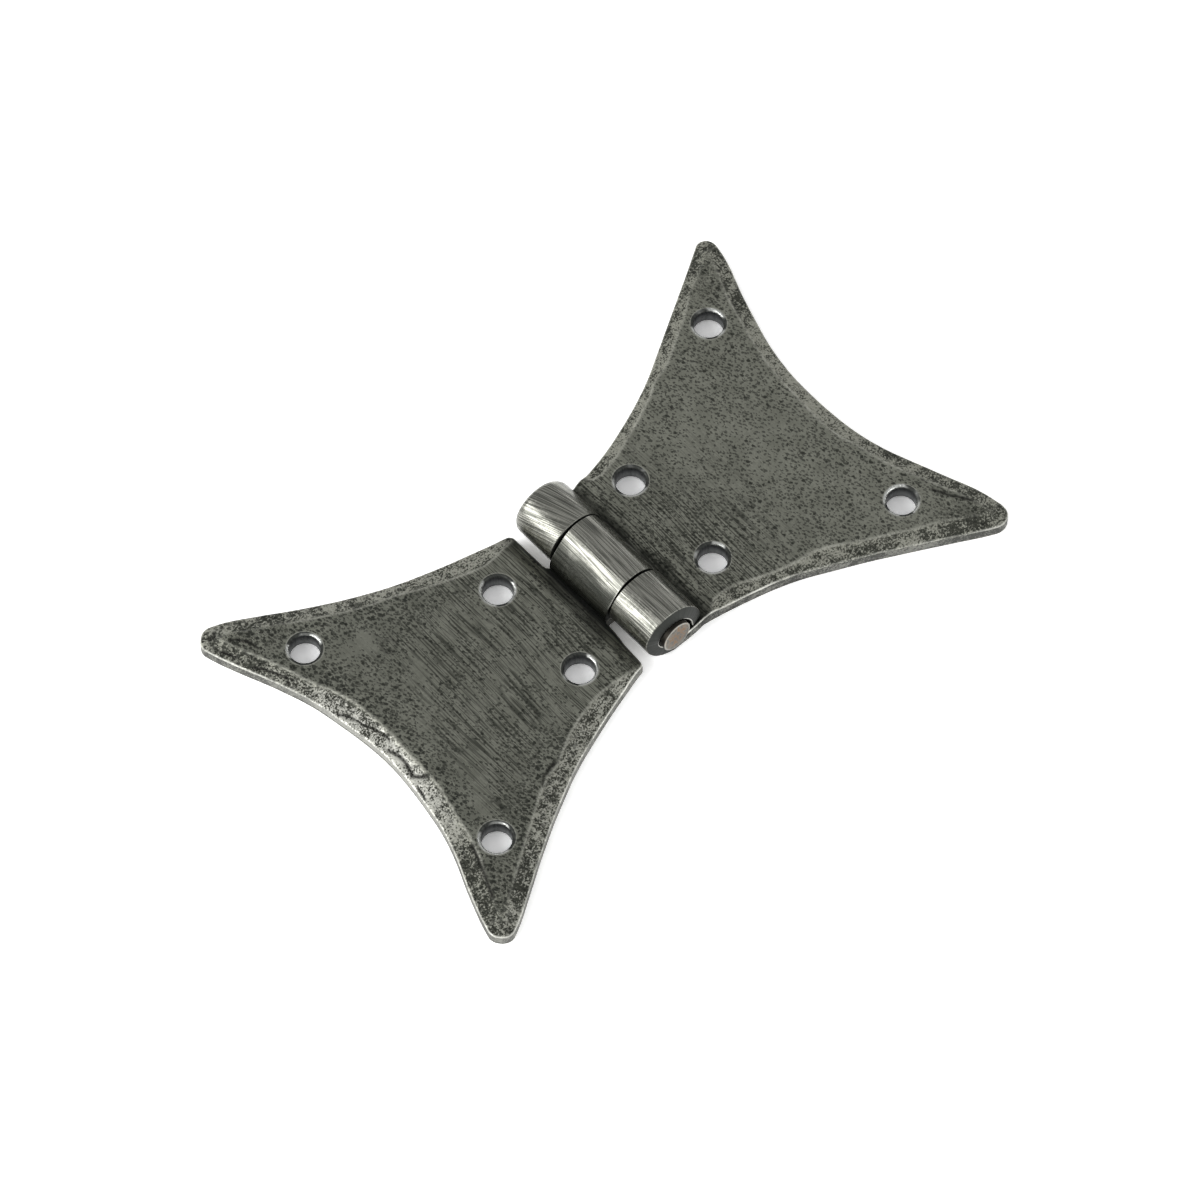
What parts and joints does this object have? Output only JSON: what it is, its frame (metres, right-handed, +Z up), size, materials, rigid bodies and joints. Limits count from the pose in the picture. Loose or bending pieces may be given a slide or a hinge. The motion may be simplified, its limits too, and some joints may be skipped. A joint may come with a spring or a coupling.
{
  "type": "butterfly hinge",
  "caption": "Surface-mounted butterfly hinge: two flared, bevelled steel leaves with rolled knuckles that swing on a plain pin.",
  "frame": {"origin": "under the middle of the pin, on the plane that the leaves lie on", "axes": "+X towards the leaf with the outer knuckles, +Y along the pin away from its projecting end, +Z up, away from the mounting face"},
  "size_m": [0.0826, 0.0538, 0.0076],
  "materials": {
    "leaf_steel": "dark pewter patina, linished along the pin, with pits and worn bright edges",
    "pin_steel": "plain steel with light rust on the cut end"
  },
  "bodies": {
    "fixed_leaf": {"double_knuckle_leaf": "leaf_steel", "hinge_pin": "pin_steel"},
    "swinging_leaf": {"single_knuckle_leaf": "leaf_steel"}
  },
  "joints": [
    {"name": "leaf_swing", "type": "hinge", "parent": "fixed_leaf", "child": "swinging_leaf", "pos_m": [0, 0, 0.0038], "axis": [0, 1, 0], "range_deg": [-90, 180]}
  ]
}
